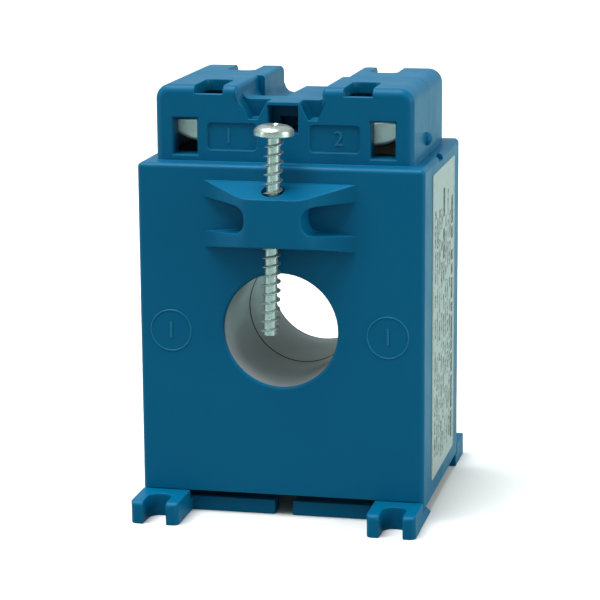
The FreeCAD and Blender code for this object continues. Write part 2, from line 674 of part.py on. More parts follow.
def clamp_shoe(label, side, end):
    """The pressure piece under a clamp screw, with a belly that pushes on the wire."""
    body = new_body(label)
    draft = sketch(body, "shoe", "XZ_Plane",
                   f"-1 * {end} * ({SHOE_FRONT} - shoe_depth / 2) - shoe_depth / 2")
    rim = f"({SHOE_BOTTOM} + shoe_belly)"
    top = f"({SHOE_BOTTOM} + shoe_height)"
    inner = f"{side} * {SHOE_INNER}"
    outer = f"{side} * {SHOE_OUTER}"
    corners = [(inner, rim), (inner, top), (outer, top), (outer, rim)]
    spots = [Vector(mm(across), mm(up), 0) for across, up in corners]
    lines = [draft.addGeometry(Part.LineSegment(start, stop)) for start, stop in zip(spots, spots[1:])]
    lowest = Vector((spots[0].x + spots[3].x) / 2, mm(SHOE_BOTTOM), 0)
    arc = draft.addGeometry(Part.Arc(spots[3], lowest, spots[0]))
    for line, after in zip(lines, lines[1:]):
        draft.addConstraint(Sketcher.Constraint("Coincident", line, 2, after, 1))
    for line, (across, up) in zip(lines, corners):
        fix_point(draft, line, 1, across, up)
    fix_point(draft, lines[-1], 2, *corners[-1])
    first = 1 if (draft.getPoint(arc, 1) - spots[3]).Length < 0.01 else 2
    draft.addConstraint(Sketcher.Constraint("Coincident", arc, first, lines[-1], 2))
    draft.addConstraint(Sketcher.Constraint("Coincident", arc, 3 - first, lines[0], 1))
    half_width = f"({SHOE_OUTER} - {SHOE_INNER}) / 2"
    bulge = f"(({half_width}) ^ 2 + shoe_belly ^ 2) / (2 * shoe_belly)"
    size = draft.addConstraint(Sketcher.Constraint("Radius", arc, mm(bulge)))
    draft.setExpression(f"Constraints[{size}]", link(bulge))
    pad(body, "shoe", draft, "shoe_depth")
    draft = sketch(body, "hole", "XY_Plane", top)
    circle(draft, f"{side} * {TOOL_ACROSS}", f"{end} * {CLAMP_FORWARD}", "bolt_radius + bolt_fit")
    pocket(body, "hole", draft, "shoe_height + clamp_lift")
    dress("Fillet", body, "face_round", lambda edge: near(edge.BoundBox.YMin, f"{end} * {SHOE_FRONT}")
          and near(edge.BoundBox.YMax, f"{end} * {SHOE_FRONT}")
          and edge.BoundBox.ZMin < mm(top) - 0.01, "shoe_round")
    return body


def screw_profile(body, corners):
    draft = sketch(body, "profile", "XZ_Plane")
    outline(draft, corners)
    turn(body, "turned", draft)


def clamp_bolt(label, side, end):
    """A slotted clamp screw, standing on its pressure piece. Its origin is under the head."""
    body = new_body(label)
    screw_profile(body, [("0", "-bolt_length"), ("bolt_radius - bolt_chamfer", "-bolt_length"),
                         ("bolt_radius", "bolt_chamfer - bolt_length"), ("bolt_radius", "0"),
                         ("bolt_head_radius", "0"),
                         ("bolt_head_radius", "bolt_head_height - bolt_chamfer"),
                         ("bolt_head_radius - bolt_chamfer", "bolt_head_height"),
                         ("0", "bolt_head_height")])
    draft = sketch(body, "slot", "XY_Plane", "bolt_head_height")
    rectangle(draft, "-bolt_head_radius", "bolt_head_radius", "-bolt_slot_width / 2", "bolt_slot_width / 2")
    pocket(body, "slot", draft, "bolt_slot_depth")
    body.setExpression("Placement.Base.x", link(f"{side} * {TOOL_ACROSS}"))
    body.setExpression("Placement.Base.y", link(f"{end} * {CLAMP_FORWARD}"))
    body.setExpression("Placement.Base.z", link(f"{SHOE_BOTTOM} + shoe_height"))
    return body


def fixing_screw(label):
    """The long self-tapping screw that presses on the busbar. Its origin is under the head."""
    body = new_body(label)
    screw_profile(body, [("0", "-screw_shank"), ("screw_radius - screw_tip_taper", "-screw_shank"),
                         ("screw_radius", "screw_tip_taper - screw_shank"), ("screw_radius", "0"),
                         ("head_radius", "0"), ("head_radius", "head_height"), ("0", "head_height")])
    dress("Fillet", body, "pan_head", lambda edge: isinstance(edge.Curve, Part.Circle)
          and near(edge.BoundBox.ZMin, "head_height"), "head_height - head_rim")
    draft = sketch(body, "cross", "XY_Plane", "head_height")
    long, short = "cross_length / 2", "cross_width / 2"
    outline(draft, [(f"-{long}", f"-{short}"), (f"-{short}", f"-{short}"), (f"-{short}", f"-{long}"),
                    (short, f"-{long}"), (short, f"-{short}"), (long, f"-{short}"), (long, short),
                    (short, short), (short, long), (f"-{short}", long), (f"-{short}", short),
                    (f"-{long}", short)])
    pocket(body, "cross", draft, "cross_depth")
    body.Placement = Placement(Vector(0, 0, 0), Rotation(Vector(0, 1, 0), mm("screw_lean")))
    above = f"({BOSS_TOP} + screw_stand - {SLOT_MIDDLE})"
    body.setExpression("Placement.Rotation.Angle", link("screw_lean"))
    body.setExpression("Placement.Base.x", link(f"{above} * sin(screw_lean) - screw_left"))
    body.setExpression("Placement.Base.y", link(f"-{SCREW_FORWARD}"))
    body.setExpression("Placement.Base.z", link(f"{SLOT_MIDDLE} + {above} * cos(screw_lean)"))
    return body


def lead(label, side):
    """An insulated lead from the winding up to the terminal bar, with one smooth S bend."""
    start_x = mm("lead_start")
    bend = mm("lead_bend")
    base = mm("bore_height + ring_fit") + math.sqrt(mm(TAPE_OUTER) ** 2 - (start_x - mm("lead_radius")) ** 2)
    rise = base + mm("lead_rise")
    top = mm(f"{TOP} - ring_fit")
    spot = lambda across, up: Vector(mm(side) * across, 0, up)
    slant = bend * math.sin(math.pi / 4)
    path = Part.Wire([
        Part.LineSegment(spot(start_x, base), spot(start_x, rise)).toShape(),
        Part.Arc(spot(start_x, rise), spot(start_x + bend - slant, rise + slant),
                 spot(start_x + bend, rise + bend)).toShape(),
        Part.Arc(spot(start_x + bend, rise + bend), spot(start_x + bend + slant, rise + 2 * bend - slant),
                 spot(start_x + 2 * bend, rise + 2 * bend)).toShape(),
        Part.LineSegment(spot(start_x + 2 * bend, rise + 2 * bend), spot(start_x + 2 * bend, top)).toShape()])
    ring = Part.Wire([Part.Circle(spot(start_x, base), Vector(0, 0, 1), mm("lead_radius")).toShape()])
    item = doc.addObject("Part::Feature", label)
    item.Shape = path.makePipeShell([ring], True, True)
    item.Label = label
    item.Placement = Placement()
    return item


# Feet and label

def foot(label, side, end):
    """A foot with an open slot, a bar along the housing edge, and a hook that snaps in."""
    body = new_body(label)
    inner = f"{side} * ({HALF} - foot_width)"
    outer = f"{side} * {HALF}"
    middle = f"{side} * ({HALF} - foot_width / 2)"
    nose = f"{end} * ({FRONT} + foot_reach)"
    draft = sketch(body, "foot", "XY_Plane")
    rectangle(draft, inner, outer, nose, f"{end} * {FRONT}")
    pad(body, "foot", draft, "house_bottom")
    dress("Fillet", body, "foot_round", lambda edge: near(edge.BoundBox.YMin, nose)
          and near(edge.BoundBox.YMax, nose) and edge.BoundBox.ZMax > 0.01, "foot_round")
    draft = sketch(body, "tongue", "YZ_Plane", f"{side} * {HALF}")
    start = f"{end} * ({FRONT} + foot_round)"
    if side == end:
        rectangle(draft, start, f"{end} * ({FRONT} - tongue_length)", "0", "tongue_height")
    else:
        outline(draft, [(start, "0"), (start, "tongue_height"),
                        (f"{end} * ({FRONT} - tail_flat)", "tongue_height"),
                        (f"{end} * ({FRONT} - tail_length)", "tail_tip"),
                        (f"{end} * ({FRONT} - tail_length)", "0")])
    pad(body, "tongue", draft, "foot_width", backwards=side == "1")
    draft = sketch(body, "bar", "XY_Plane")
    rectangle(draft, f"{side} * bar_gap / 2", f"{middle} + {side} * rest_width / 2",
              f"{end} * ({FRONT} - bar_setback)", f"{end} * ({FRONT} - bar_setback - bar_depth)")
    pad(body, "bar", draft, "bar_height")
    draft = sketch(body, "rest", "XY_Plane")
    rectangle(draft, f"{middle} - rest_width / 2", f"{middle} + rest_width / 2",
              f"{end} * ({FRONT} - rest_setback)", f"{end} * ({FRONT} - rest_setback - rest_depth)")
    pad(body, "rest", draft, "house_bottom")
    draft = sketch(body, "hook", "XY_Plane", "house_bottom")
    hook_back = f"({HOOK_FRONT} - hook_depth)"
    rectangle(draft, f"{middle} - hook_width / 2", f"{middle} + hook_width / 2",
              f"{end} * {HOOK_FRONT}", f"{end} * {hook_back}")
    pad(body, "hook", draft, "house_wall + hook_fit + barb_height")
    draft = sketch(body, "barb", "XY_Plane", "house_bottom + house_wall + hook_fit")
    rectangle(draft, f"{middle} - hook_width / 2", f"{middle} + hook_width / 2",
              f"{end} * {HOOK_FRONT}", f"{end} * ({hook_back} - barb_reach)")
    pad(body, "barb", draft, "barb_height")
    dress("Chamfer", body, "barb_lead", lambda edge: runs_along(edge, 0)
          and near(edge.BoundBox.ZMin, "house_bottom + house_wall + hook_fit + barb_height")
          and near(edge.BoundBox.Center.y, f"{end} * ({hook_back} - barb_reach)"), "barb_lead")
    draft = sketch(body, "slot", "XY_Plane")
    rectangle(draft, f"{middle} - foot_slot_width / 2", f"{middle} + foot_slot_width / 2",
              nose, f"{end} * ({FRONT} + foot_reach - foot_slot_length)")
    pocket(body, "slot", draft, "house_bottom", backwards=True)
    slot_end = f"{end} * ({FRONT} + foot_reach - foot_slot_length)"
    dress("Fillet", body, "slot_round", lambda edge: runs_along(edge, 2)
          and near(edge.BoundBox.Center.y, slot_end), "foot_slot_round")
    return body


def rating_label(label):
    body = new_body(label)
    draft = sketch(body, "plate", "YZ_Plane", HALF)
    rectangle(draft, f"label_front_margin - {FRONT}", f"{FRONT} - label_back_margin",
              "house_bottom + label_bottom_margin", f"{TOP} - label_top_margin")
    pad(body, "plate", draft, "label_wall")
    dress("Fillet", body, "corners", lambda edge: runs_along(edge, 0), "label_round")
    return body


half_shell("front_shell", front=True)
rear = half_shell("rear_shell", front=False)
rear.Placement = Placement(Vector(0, 0, 0), Rotation(Vector(0, 0, 1), 180))
sleeve("bore_sleeve_front", "-1")
sleeve("bore_sleeve_rear", "1")
ring_piece("core", [box_loop(CORE_INNER, CORE_OUTER, "-core_length / 2", "core_length / 2")])
core_cap("core_cap_front", "-1")
core_cap("core_cap_rear", "1")
ring_shell("secondary_winding", WINDING_INNER, WINDING_OUTER, WINDING_LENGTH, "winding_wall")
ring_shell("winding_tape", TAPE_INNER, TAPE_OUTER, TAPE_LENGTH, "tape_wall")
for side_name, side in (("left", "-1"), ("right", "1")):
    rail(f"terminal_bar_{side_name}", side)
    lead(f"lead_{side_name}", side)
    for end_name, end in (("front", "-1"), ("rear", "1")):
        clamp_shoe(f"clamp_shoe_{end_name}_{side_name}", side, end)
        clamp_bolt(f"clamp_screw_{end_name}_{side_name}", side, end)
        foot(f"foot_{end_name}_{side_name}", side, end)
fixing_screw("fixing_screw")
rating_label("rating_label")
doc.recompute()

for item in doc.Objects:
    if "Invalid" in item.State or "Error" in item.State:
        raise RuntimeError(f"{item.Name} could not be built: {item.State}")

subparts = [item for item in doc.Objects
            if item.TypeId == "PartDesign::Body" or item.TypeId == "Part::Feature"]
for item in subparts:
    if item.Shape.isNull() or not item.Shape.isValid():
        raise RuntimeError(f"{item.Label} has no sound shape")

os.makedirs("parts", exist_ok=True)
for item in subparts:
    item.Shape.exportStep(f"parts/{item.Label}.step")
    print(f"{item.Label}: {len(item.Shape.Solids)} solid, {item.Shape.Volume:.1f} cubic mm")
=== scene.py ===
# %% [markdown]
# # A current transformer with a round window
#
# This part measures the current in a cable or busbar that goes through its round window. It has a blue
# moulded housing in two halves, a grey sleeve in the window, two terminal towers with a bridge between
# them, four clip-in feet and one long screw that presses on the busbar.
#
# The solids come from the construction model and already have their real size and place. What is left to do
# here is what a camera sees up close: the thread and the pressed cross of the screw, edges as soft as a
# mould leaves them, raised marks, a printed label, and the finish of every surface.

# %% The fixed frame
import json
import math
import random

import bmesh
import bpy
from mathutils import Matrix, Quaternion, Vector

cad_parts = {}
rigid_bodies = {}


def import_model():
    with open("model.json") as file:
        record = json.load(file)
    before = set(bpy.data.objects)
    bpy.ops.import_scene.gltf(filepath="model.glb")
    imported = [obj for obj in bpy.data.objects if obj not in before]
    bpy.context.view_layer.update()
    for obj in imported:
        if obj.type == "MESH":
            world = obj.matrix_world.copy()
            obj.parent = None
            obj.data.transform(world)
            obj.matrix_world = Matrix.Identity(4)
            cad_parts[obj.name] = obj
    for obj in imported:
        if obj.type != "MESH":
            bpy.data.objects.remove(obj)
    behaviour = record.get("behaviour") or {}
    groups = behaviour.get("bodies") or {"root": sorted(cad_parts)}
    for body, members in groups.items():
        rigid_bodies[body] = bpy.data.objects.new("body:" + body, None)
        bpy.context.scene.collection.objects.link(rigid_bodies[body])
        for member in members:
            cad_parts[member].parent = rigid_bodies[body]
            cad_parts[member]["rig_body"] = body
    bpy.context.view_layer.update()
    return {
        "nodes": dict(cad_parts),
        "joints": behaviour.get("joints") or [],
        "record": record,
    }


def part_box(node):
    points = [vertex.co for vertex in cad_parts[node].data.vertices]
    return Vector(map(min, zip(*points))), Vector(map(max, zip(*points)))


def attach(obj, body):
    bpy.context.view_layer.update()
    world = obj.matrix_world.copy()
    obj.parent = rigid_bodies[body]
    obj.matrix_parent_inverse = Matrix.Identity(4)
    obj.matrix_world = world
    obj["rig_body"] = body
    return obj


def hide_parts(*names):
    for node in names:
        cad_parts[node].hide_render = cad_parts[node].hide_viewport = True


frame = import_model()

MM = 0.001
nodes = frame["nodes"]
slot_of = {part["node"]: part["material_slot"] for part in frame["record"]["subparts"]}

# %% [markdown]
# ## The camera
#
# The photograph was taken with a long lens from a little above and a little to the right. A camera could be
# moved by eye until the picture fits, but here it is worked out: the corners of the housing, the window and
# the terminal block fix its turn round the object, its height, its distance and the focal length. A long
# lens keeps the upright edges nearly parallel.

# %% Camera
CAMERA_AZIMUTH = math.radians(12.48)
CAMERA_ELEVATION = math.radians(12.27)
CAMERA_ROLL = math.radians(-0.41)
CAMERA_DISTANCE = 503.4 * MM
CAMERA_TARGET = Vector((-0.9, 0, 41.6)) * MM
LENS = 140.3
FILM_WIDTH = 36

level_share = math.cos(CAMERA_ELEVATION)
backwards = Vector((math.sin(CAMERA_AZIMUTH) * level_share, -math.cos(CAMERA_AZIMUTH) * level_share,
                    math.sin(CAMERA_ELEVATION)))
camera = bpy.data.objects.new("camera", bpy.data.cameras.new("camera"))
camera.data.lens = LENS
camera.data.sensor_width = FILM_WIDTH
camera.location = CAMERA_TARGET + backwards * CAMERA_DISTANCE
camera.rotation_mode = "QUATERNION"
camera.rotation_quaternion = ((-backwards).to_track_quat("-Z", "Y")
                              @ Quaternion((0, 0, 1), CAMERA_ROLL))
bpy.context.scene.collection.objects.link(camera)
bpy.context.scene.camera = camera
print("camera at, in mm:", [round(side / MM, 1) for side in camera.location])

# %% [markdown]
# ## Colours and nodes
#
# A colour picked from a photograph is an sRGB value, but a shader works with linear light, so one function
# turns one into the other. Another feeds a node's inputs, and a third adds a node, sets it and feeds it.
# With the three, each material below stays a short recipe.

# %% Helpers for nodes
def linear(hex_colour):
    """The linear colour, with alpha, of an sRGB hex value."""
    channels = [int(hex_colour[place:place + 2], 16) / 255 for place in (0, 2, 4)]
    return [value / 12.92 if value <= 0.04045 else ((value + 0.055) / 1.055) ** 2.4
            for value in channels] + [1]


def feed(tree, node, inputs):
    """Gives each named input a number, a colour or another node's output."""
    for name, value in inputs.items():
        if isinstance(value, bpy.types.NodeSocket):
            tree.links.new(value, node.inputs[name])
        else:
            node.inputs[name].default_value = value


def add(tree, kind, inputs=None, **settings):
    """A new node with its settings made and its inputs fed."""
    node = tree.nodes.new(kind)
    for name, value in settings.items():
        setattr(node, name, value)
    feed(tree, node, inputs or {})
    return node


print("mid grey 808080 in linear light:", round(linear("808080")[0], 3))

# %% [markdown]
# ## A finish in clouds
#
# No real surface is the same all over. Dyed plastic has slow clouds of colour, its gloss changes from patch
# to patch, and its skin has a grain. A photograph laid over the part would give all three, but only from
# one side. Noise worked out in the object's own space has no seam, fits every shape and keeps its real size
# in millimetres, so one function makes nearly all the finishes of this part, each with its own sizes.

# %% Helpers for finishes
MOST_NOISE = (0.3, 0.7)


def new_material(name, **shader):
    """A material with one shader. The shader's own sockets get what is the same all over."""
    material = bpy.data.materials.new(name)
    material.use_nodes = True
    tree = material.node_tree
    tree.nodes.clear()
    surface = add(tree, "ShaderNodeBsdfPrincipled",
                  {key.replace("_", " "): value for key, value in shader.items()})
    add(tree, "ShaderNodeOutputMaterial", {"Surface": surface.outputs["BSDF"]})
    return material, tree, surface


def mottle(tree, place, size, low, high, detail=3):
    """Soft patches of a size in metres, which run from a low to a high number or colour."""
    noise = add(tree, "ShaderNodeTexNoise", {"Vector": place, "Scale": 1 / size, "Detail": detail})
    if isinstance(low, list):
        patches = add(tree, "ShaderNodeMix", {"Factor": noise.outputs["Fac"], "A": low, "B": high},
                      data_type="RGBA")
    else:
        # Noise seldom leaves the middle of its range, so the middle is stretched.
        patches = add(tree, "ShaderNodeMapRange",
                      {"Value": noise.outputs["Fac"], "From Min": MOST_NOISE[0],
                       "From Max": MOST_NOISE[1], "To Min": low, "To Max": high})
    return patches.outputs["Result"]


def clouded(name, colours, clouds, roughness, patches, grain, depth, detail=3, **shader):
    """A finish with clouds of two colours, patches of two roughnesses and a raised grain."""
    material, tree, surface = new_material(name, **shader)
    place = add(tree, "ShaderNodeTexCoord").outputs["Object"]
    height = mottle(tree, place, grain, 0.0, 1.0, detail)
    bump = add(tree, "ShaderNodeBump", {"Height": height, "Distance": depth, "Strength": 1.0})
    first, second = map(linear, colours)
    feed(tree, surface, {"Base Color": mottle(tree, place, clouds, first, second),
                         "Roughness": mottle(tree, place, patches, *roughness),
                         "Normal": bump.outputs["Normal"]})
    return material


# %% [markdown]
# ## Blue moulded plastic
#
# The housing and feet are an injection-moulded polycarbonate blend, dyed right through. The mould is spark
# eroded, so the skin has a very fine grain, which spreads the highlight over the faces. The colour is nearly
# even, with slow clouds where the melt flowed. The grain of a real mould is about 0.05 mm, too fine for the
# picture, so it is drawn at 0.22 mm. The specular level lies well under that of bare plastic, because the
# grained skin of this housing mirrors little of the bright room and keeps its deep blue.

# %% Blue plastic
GRAIN = 0.22 * MM
GRAIN_DEPTH = 0.006 * MM
FLOW = 26 * MM
GLOSS_PATCH = 9 * MM
GLOSS_SPREAD = 0.04
PLASTIC_IOR = 1.52


def moulded_plastic(name, colours, roughness, specular):
    """Plastic from a grained mould: the eye gets one deep colour with a wide, soft sheen."""
    return clouded(name, colours, FLOW, (roughness - GLOSS_SPREAD, roughness + GLOSS_SPREAD), GLOSS_PATCH,
                   GRAIN, GRAIN_DEPTH, detail=1, IOR=PLASTIC_IOR, Specular_IOR_Level=specular)


# Raised strokes are a little glossier than the face round them, and their lighter colour is a painted
# highlight.
mark_plastic_painted_lighter = moulded_plastic("blue_plastic_of_raised_strokes_painted_lighter", ("0E6A8E", "0C6689"), 0.32, 0.2)
blue_plastic = moulded_plastic("blue_moulded_plastic", ("005B80", "00577B"), 0.38, 0.1)
print("made:", mark_plastic_painted_lighter.name, blue_plastic.name)

# %% [markdown]
# ## Grey plastic of the sleeve
#
# The sleeve that lines the window is moulded as well, in plain grey. The same recipe serves, with a full
# specular level: this skin came off a smooth core pin, and light that slides along the bore shows on it.

# %% Grey plastic
grey_plastic = moulded_plastic("grey_moulded_plastic", ("868C90", "80868A"), 0.42, 0.5)
print("made:", grey_plastic.name)

# %% [markdown]
# ## Zinc-plated steel and brass
#
# Screws and pressure pieces are steel with a thin zinc coat, and the terminal bars are brass. A metal has no
# colour under its reflection, so its colour sits in the reflection. The zinc here is not a pure mirror: its
# clear passivation spreads some light, and the metallic value under 1 stands for that. The coat has soft
# spangles, patches of about a millimetre that differ in colour and gloss.

# %% Metals
SPANGLE = 1.1 * MM
SPANGLE_GLOSS = 0.66 * MM
SPANGLE_SMOOTHER = 0.07
SPANGLE_ROUGHER = 0.08
ROLLING = 0.3 * MM
ROLLING_DEPTH = 0.004 * MM


def plated_metal(name, colours, roughness, metallic=1.0):
    """Metal with a spangled coat: the eye gets a bright, slightly broken reflection."""
    spread = (roughness - SPANGLE_SMOOTHER, roughness + SPANGLE_ROUGHER)
    return clouded(name, colours, SPANGLE, spread, SPANGLE_GLOSS, ROLLING, ROLLING_DEPTH, detail=2,
                   Metallic=metallic)


zinc = plated_metal("bright_zinc_plate", ("B4BEBA", "A4AEAA"), 0.3, metallic=0.75)
# Pressings are matt from the press, and their zinc is painted paler than the screws': painted light on the
# same plating.
zinc_painted_paler = plated_metal("matt_zinc_of_pressings_painted_paler", ("DDE6E2", "D0D9D5"), 0.42, metallic=0.5)
# The brass is painted a dark, dull brown: painted shade for the shadow it sits in behind the wire entries.
brass = plated_metal("brass_painted_dark_for_shade", ("4A4130", "3F3828"), 0.45)
print("made:", zinc.name, zinc_painted_paler.name, brass.name)

# %% [markdown]
# ## Pieces inside and the label's foil
#
# The core, its caps, the winding, the tape and the leads are sealed in, but each gets the finish of its real
# material all the same, because the part is also taken apart and looked at piece by piece. The rating label
# is a matt polyester foil, nearly flat in colour.

# %% Sealed pieces and foil
SKIN_CLOUDS = 5 * MM
SKIN_PATCH = 2 * MM
SKIN_SPREAD = 0.05
SKIN_DEPTH = 0.02 * MM
FOIL = "A0AAA6"


def plain_skin(name, colours, roughness, grain):
    """Tape, insulation or foil: the eye gets an even colour with a soft, slightly wavy sheen."""
    return clouded(name, colours, SKIN_CLOUDS, (roughness - SKIN_SPREAD, roughness + SKIN_SPREAD),
                   SKIN_PATCH, grain, SKIN_DEPTH)


white_plastic = moulded_plastic("white_cap_plastic", ("D8D5CC", "CFCBC0"), 0.55, 0.5)
core_steel = plated_metal("wound_core_steel", ("8C8E90", "7A7C7E"), 0.4)
copper = plated_metal("enamelled_copper", ("B4612F", "A45427"), 0.25)
tape = plain_skin("polyester_tape", ("D9B53C", "CFA933"), 0.35, 1.5 * MM)
lead_skin = plain_skin("red_lead_insulation", ("B3241C", "A61F18"), 0.45, 1.0 * MM)
foil = plain_skin("label_foil", (FOIL, "99A4A0"), 0.42, 0.6 * MM)
print("materials so far:", len(bpy.data.materials))

# %% [markdown]
# ## Printing ink
#
# The label's small print is finer than a pixel. Letters made as text would be lost in the picture, so each
# word is a thin bar, and its ink is broken into strokes by a fine noise: where the noise is low the foil
# shows, where it is high the ink. The strokes of real print are a tenth or two of a millimetre wide. Here
# they come every 0.9 mm, as coarse as they need to be to show.

# %% Ink
STROKE_PITCH = 0.9 * MM
STROKE_SQUEEZE = (1.0, 1.6, 1.3)
INK_FROM = 0.5
INK_FULL = 0.58
CLOSING = 0.15
INK_ROUGHNESS = 0.6


def printing_ink(name, colour, solid):
    """Ink in broken strokes. A higher solid value, from 0 to 1, closes the gaps between them."""
    material, tree, surface = new_material(name, Roughness=INK_ROUGHNESS)
    place = add(tree, "ShaderNodeTexCoord").outputs["Object"]
    strokes = add(tree, "ShaderNodeMapping", {"Vector": place, "Scale": STROKE_SQUEEZE})
    noise = add(tree, "ShaderNodeTexNoise", {"Vector": strokes.outputs["Vector"],
                                             "Scale": 1 / STROKE_PITCH, "Detail": 2})
    broken = add(tree, "ShaderNodeMapRange", {"Value": noise.outputs["Fac"],
                                              "From Min": INK_FROM - CLOSING * solid,
                                              "From Max": INK_FULL - CLOSING * solid})
    mixed = add(tree, "ShaderNodeMix", {"Factor": broken.outputs["Result"], "A": linear(FOIL),
                                        "B": linear(colour)}, data_type="RGBA")
    feed(tree, surface, {"Base Color": mixed.outputs["Result"]})
    return material


ink = printing_ink("label_ink_and_edge_shadow", "48524E", 0.3)
bold_ink = printing_ink("label_bold_ink", "2C3431", 0.9)
print("made:", ink.name, bold_ink.name)

# %% [markdown]
# ## Finishes on the solids
#
# Each solid already has one material slot, which says what the real piece is made of. Its own finish goes
# into that slot, so nothing else about the solid changes. Only the pressure pieces differ from their slot:
# they are zinc-plated like the screws, but matt, and their zinc is painted paler as painted light.

# %% Materials on the solids
FINISHES = {"blue_plastic": blue_plastic, "grey_plastic": grey_plastic, "core_steel": core_steel,
            "cap_plastic": white_plastic, "copper_wire": copper, "tape": tape,
            "lead_insulation": lead_skin, "terminal_brass": brass, "zinc_steel": zinc, "label": foil}


def finish_with(piece, material):
    piece.data.materials.clear()
    piece.data.materials.append(material)


for name, node in nodes.items():
    finish_with(node, zinc_painted_paler if name.startswith("clamp_shoe") else FINISHES[slot_of[name]])
print("solids with a finish:", len(nodes))

# %% [markdown]
# ## Edges as a mould leaves them
#
# A machined solid has knife edges, but no moulded part has: the mould's own edges are worn, and plastic
# shrinks away from corners. Those tiny rounds catch the light as thin bright lines. A bevel in the shader
# would only bend the light, so here a copy of each moulded solid is merged, its flat faces are joined up,
# and its sharp edges are bevelled by a tenth or two of a millimetre. The big round forms of the solids stay
# as they are: only edges sharper than 48 degrees are taken, which leaves the facets of those forms alone.

# %% Helpers for pieces
def object_from(name, mesh):
    """An object made from a bmesh, which is freed."""
    data = bpy.data.meshes.new(name)
    mesh.to_mesh(data)
    mesh.free()
    made = bpy.data.objects.new(name, data)
    bpy.context.scene.collection.objects.link(made)
    return made


def add_piece(name, mesh, body, material, smooth=True):
    """A finished piece of the object, at the origin, that rides on a body."""
    piece = object_from(name, mesh)
    if smooth:
        piece.data.shade_smooth()
    finish_with(piece, material)
    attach(piece, body)
    return piece


# %% Softened copies of the moulded pieces
BEVELLED = math.radians(48)
FLAT = math.radians(0.6)
WELD = 0.001 * MM
SOFT_EDGES = {"front_shell": 0.16 * MM, "rear_shell": 0.16 * MM,
              "bore_sleeve_front": 0.22 * MM, "bore_sleeve_rear": 0.22 * MM}
SOFT_EDGES |= {name: 0.2 * MM for name in nodes if name.startswith("foot_")}


def softened(node, width):
    source = nodes[node]
    mesh = bmesh.new()
    mesh.from_mesh(source.data)
    bmesh.ops.remove_doubles(mesh, verts=mesh.verts, dist=WELD)
    bmesh.ops.dissolve_limit(mesh, angle_limit=FLAT, verts=mesh.verts, edges=mesh.edges)
    edges = [edge for edge in mesh.edges if len(edge.link_faces) == 2
             and edge.calc_face_angle() > BEVELLED]
    bmesh.ops.bevel(mesh, geom=edges, offset=width, offset_type="OFFSET", segments=2,
                    profile=0.5, affect="EDGES", clamp_overlap=False, material=-1)
    piece = add_piece(f"{node}_moulded", mesh, source["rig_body"],
                      FINISHES[slot_of[node]])
    # Large faces rule the shading at their corners, so they look flat right up to the bevel.
    normals = piece.modifiers.new("even_faces", "WEIGHTED_NORMAL")
    normals.keep_sharp = False
    normals.weight = 100
    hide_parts(node)
    print(piece.name, "faces:", len(piece.data.polygons))


for name, width in SOFT_EDGES.items():
    softened(name, width)

# %% [markdown]
# ## The long fixing screw
#
# A self-tapping screw has a steep, sharp thread rolled onto a thinner core. Rings stacked on the shank would
# look alike from afar, but a thread climbs, and this one is close to the camera. So one pitch of its outline
# is spun round the axis with a small step along it at every turn, which draws the whole helix. Two cuts then
# trim it to length.
#
# The screw leans a little. Its solid tells by how much: the joint's axis is the screw's axis, and turned
# upright by that, the solid's corners give its length and its middle.

# %% The screw's axis and length
HEAD_HEIGHT = 2.2 * MM

screw_axis = next(joint["axis"] for joint in frame["joints"] if joint["child"] == "fixing_screw")
screw_turn = Vector((0, 0, 1)).rotation_difference(Vector(screw_axis))
upright = [screw_turn.inverted() @ vertex.co for vertex in nodes["fixing_screw"].data.vertices]
screw_low = Vector([min(spot[axis] for spot in upright) for axis in range(3)])
screw_high = Vector([max(spot[axis] for spot in upright) for axis in range(3)])
screw_length = screw_high.z - screw_low.z - HEAD_HEIGHT


def stand(mesh, height):
    """Puts a mesh that stands at the origin onto the leaning axis of the fixing screw."""
    middle = (screw_low + screw_high) / 2
    shift = Matrix.Translation((middle.x, middle.y, screw_low.z + height))
    bmesh.ops.transform(mesh, matrix=screw_turn.to_matrix().to_4x4() @ shift, verts=mesh.verts)
    return mesh


def drawn(mesh, outline):
    """An outline of radius and height, drawn into a mesh as one run of edges."""
    spots = [mesh.verts.new((radius, 0, height)) for radius, height in outline]
    return spots + [mesh.edges.new(pair) for pair in zip(spots, spots[1:])]


print("screw shank in mm:", round(screw_length / MM, 2))

# %% Thread of the fixing screw
SHARP = math.radians(35)
PITCH = 1.9 * MM
CORE_RADIUS = 1.32 * MM
CREST_RADIUS = 2.02 * MM
CREST_FLAT = 0.08 * MM
FLANK = 0.27 * MM
STEPS_PER_TURN = 40
THREAD_WELD = 0.002 * MM


def thread(length):
    """A helical thread from height 0 up to the given length.

    The upper cut is filled. The lower cut's rim isn't one clean loop, so the fill leaves the tip open.
    """
    mesh = bmesh.new()
    land = PITCH - CREST_FLAT - 2 * FLANK
    outline = [(CORE_RADIUS, 0), (CORE_RADIUS, land), (CREST_RADIUS, land + FLANK),
               (CREST_RADIUS, land + FLANK + CREST_FLAT), (CORE_RADIUS, PITCH)]
    one_pitch = drawn(mesh, [(radius, height - PITCH) for radius, height in outline])
    turns = math.ceil(length / PITCH) + 2
    bmesh.ops.spin(mesh, geom=one_pitch, cent=(0, 0, 0), axis=(0, 0, 1),
                   dvec=(0, 0, PITCH / STEPS_PER_TURN), angle=turns * math.tau,
                   steps=turns * STEPS_PER_TURN)
    bmesh.ops.remove_doubles(mesh, verts=mesh.verts, dist=THREAD_WELD)
    for height, normal in ((0, (0, 0, -1)), (length, (0, 0, 1))):
        cut = bmesh.ops.bisect_plane(mesh, geom=mesh.verts[:] + mesh.edges[:] + mesh.faces[:],
                                     plane_co=(0, 0, height), plane_no=normal, clear_outer=True)
        rim = [item for item in cut["geom_cut"] if isinstance(item, bmesh.types.BMEdge)]
        bmesh.ops.edgeloop_fill(mesh, edges=rim)
    bmesh.ops.recalc_face_normals(mesh, faces=mesh.faces)
    return mesh


shank = add_piece("fixing_screw_thread", stand(thread(screw_length), 0), "fixing_screw",
                  zinc)
print("faces of the thread:", len(shank.data.polygons))

